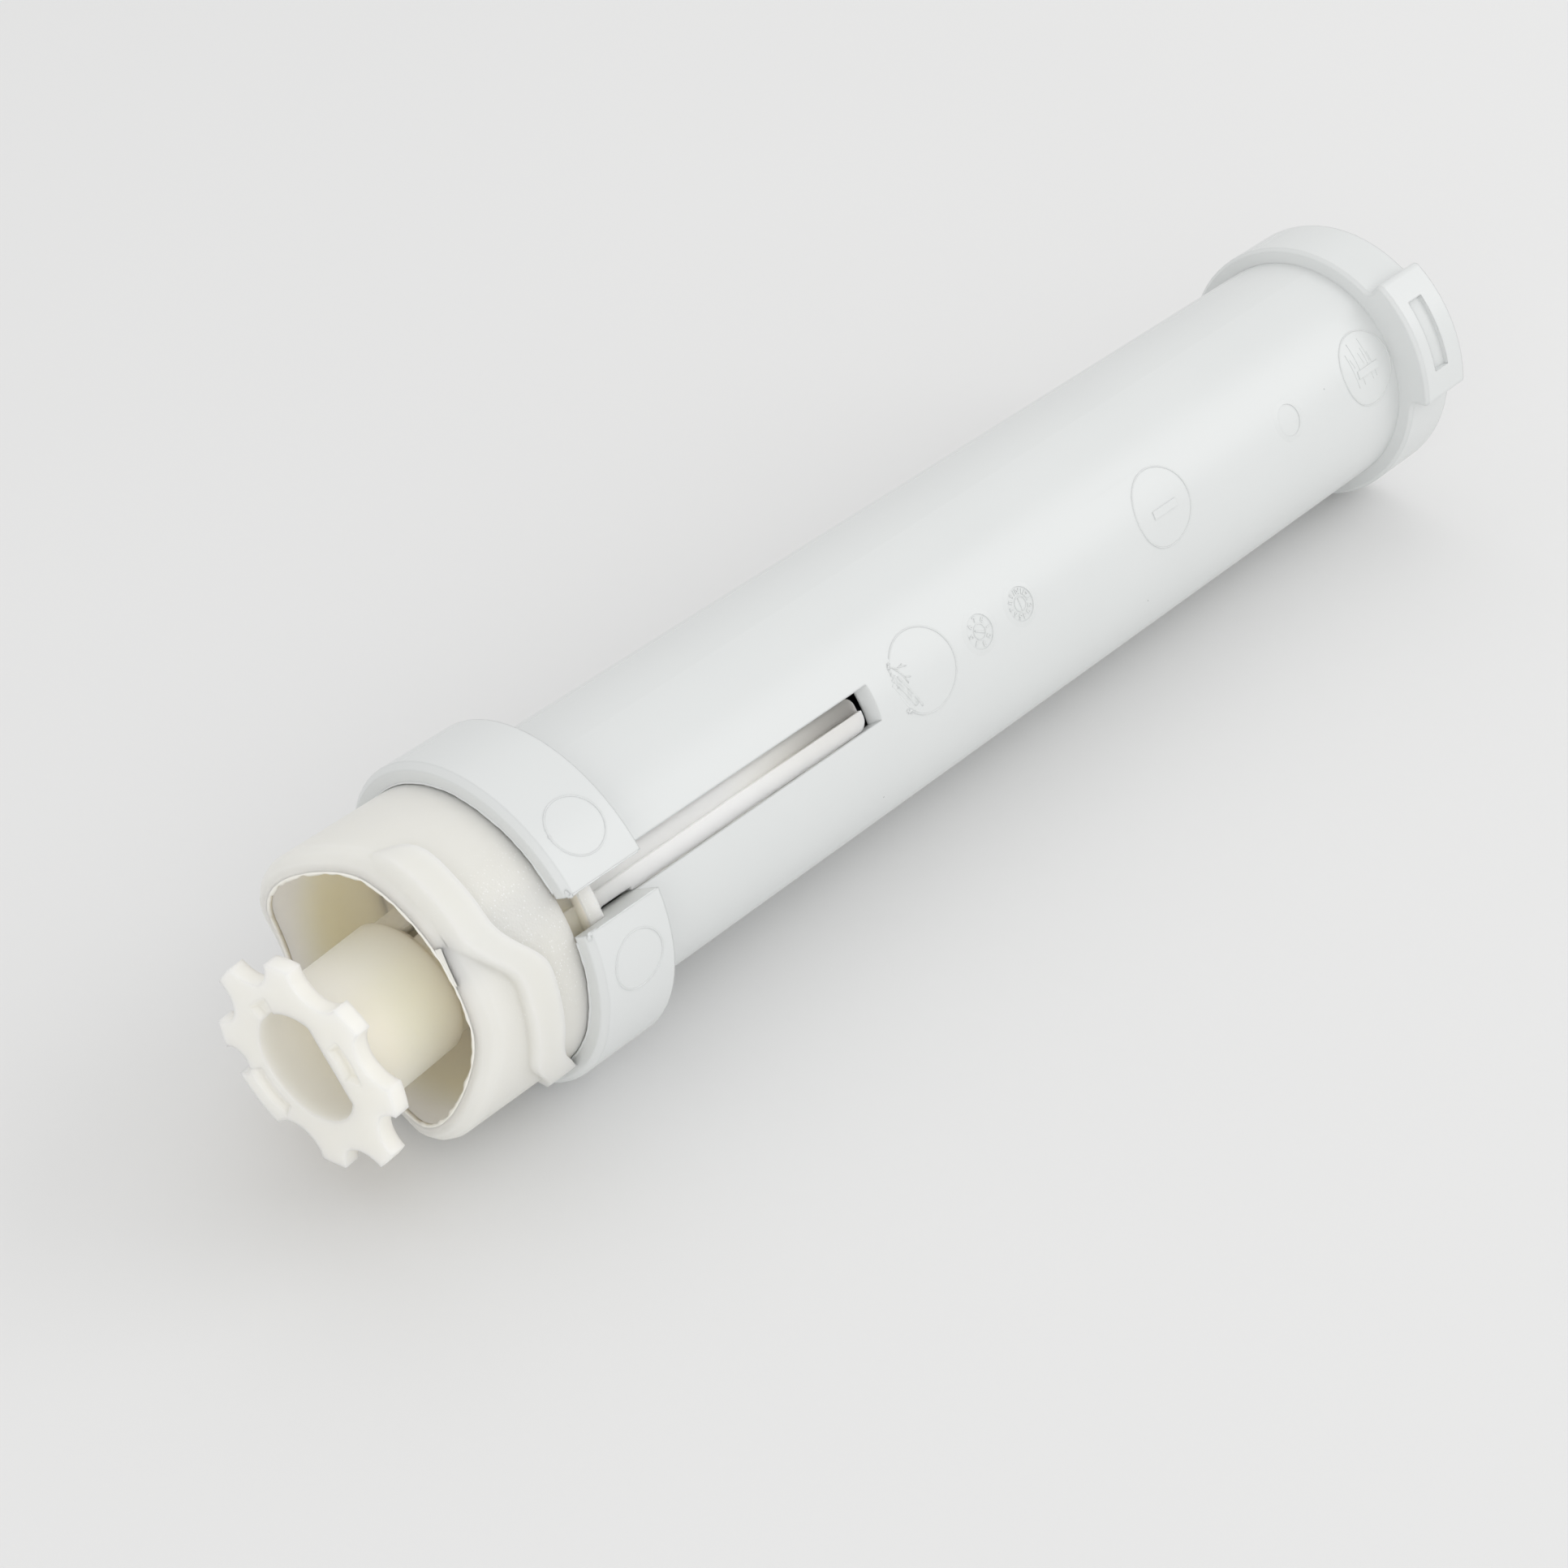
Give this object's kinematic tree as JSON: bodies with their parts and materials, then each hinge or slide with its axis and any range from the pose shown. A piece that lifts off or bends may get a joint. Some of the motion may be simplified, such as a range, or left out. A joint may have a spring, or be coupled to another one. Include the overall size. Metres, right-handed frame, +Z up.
{
  "type": "fridge water filter bypass",
  "caption": "Long tubular bypass cartridge with a bayonet nose and a toothed key spindle, which takes a water filter's place in a fridge's filter head.",
  "frame": {"origin": "on the tube's axis, at the front face of the collar, where the bayonet nose leaves it", "axes": "+X along the tube towards its closed end, -X out of the bayonet nose, +Z up as the part lies on a table"},
  "size_m": [0.2998, 0.063, 0.0618],
  "materials": {
    "white_plastic": "satin moulded white",
    "natural_plastic": "satin, slightly translucent, uncoloured"
  },
  "bodies": {
    "housing": {"outer_tube": "white_plastic", "end_plug": "white_plastic", "bayonet_insert": "natural_plastic"},
    "spindle": {"key_spindle": "natural_plastic"}
  },
  "joints": [
    {"name": "spindle_turn", "type": "hinge", "parent": "housing", "child": "spindle", "pos_m": [0.0106, 0, 0], "axis": [0.9972, 0.0685, 0.0305], "continuous": true}
  ]
}
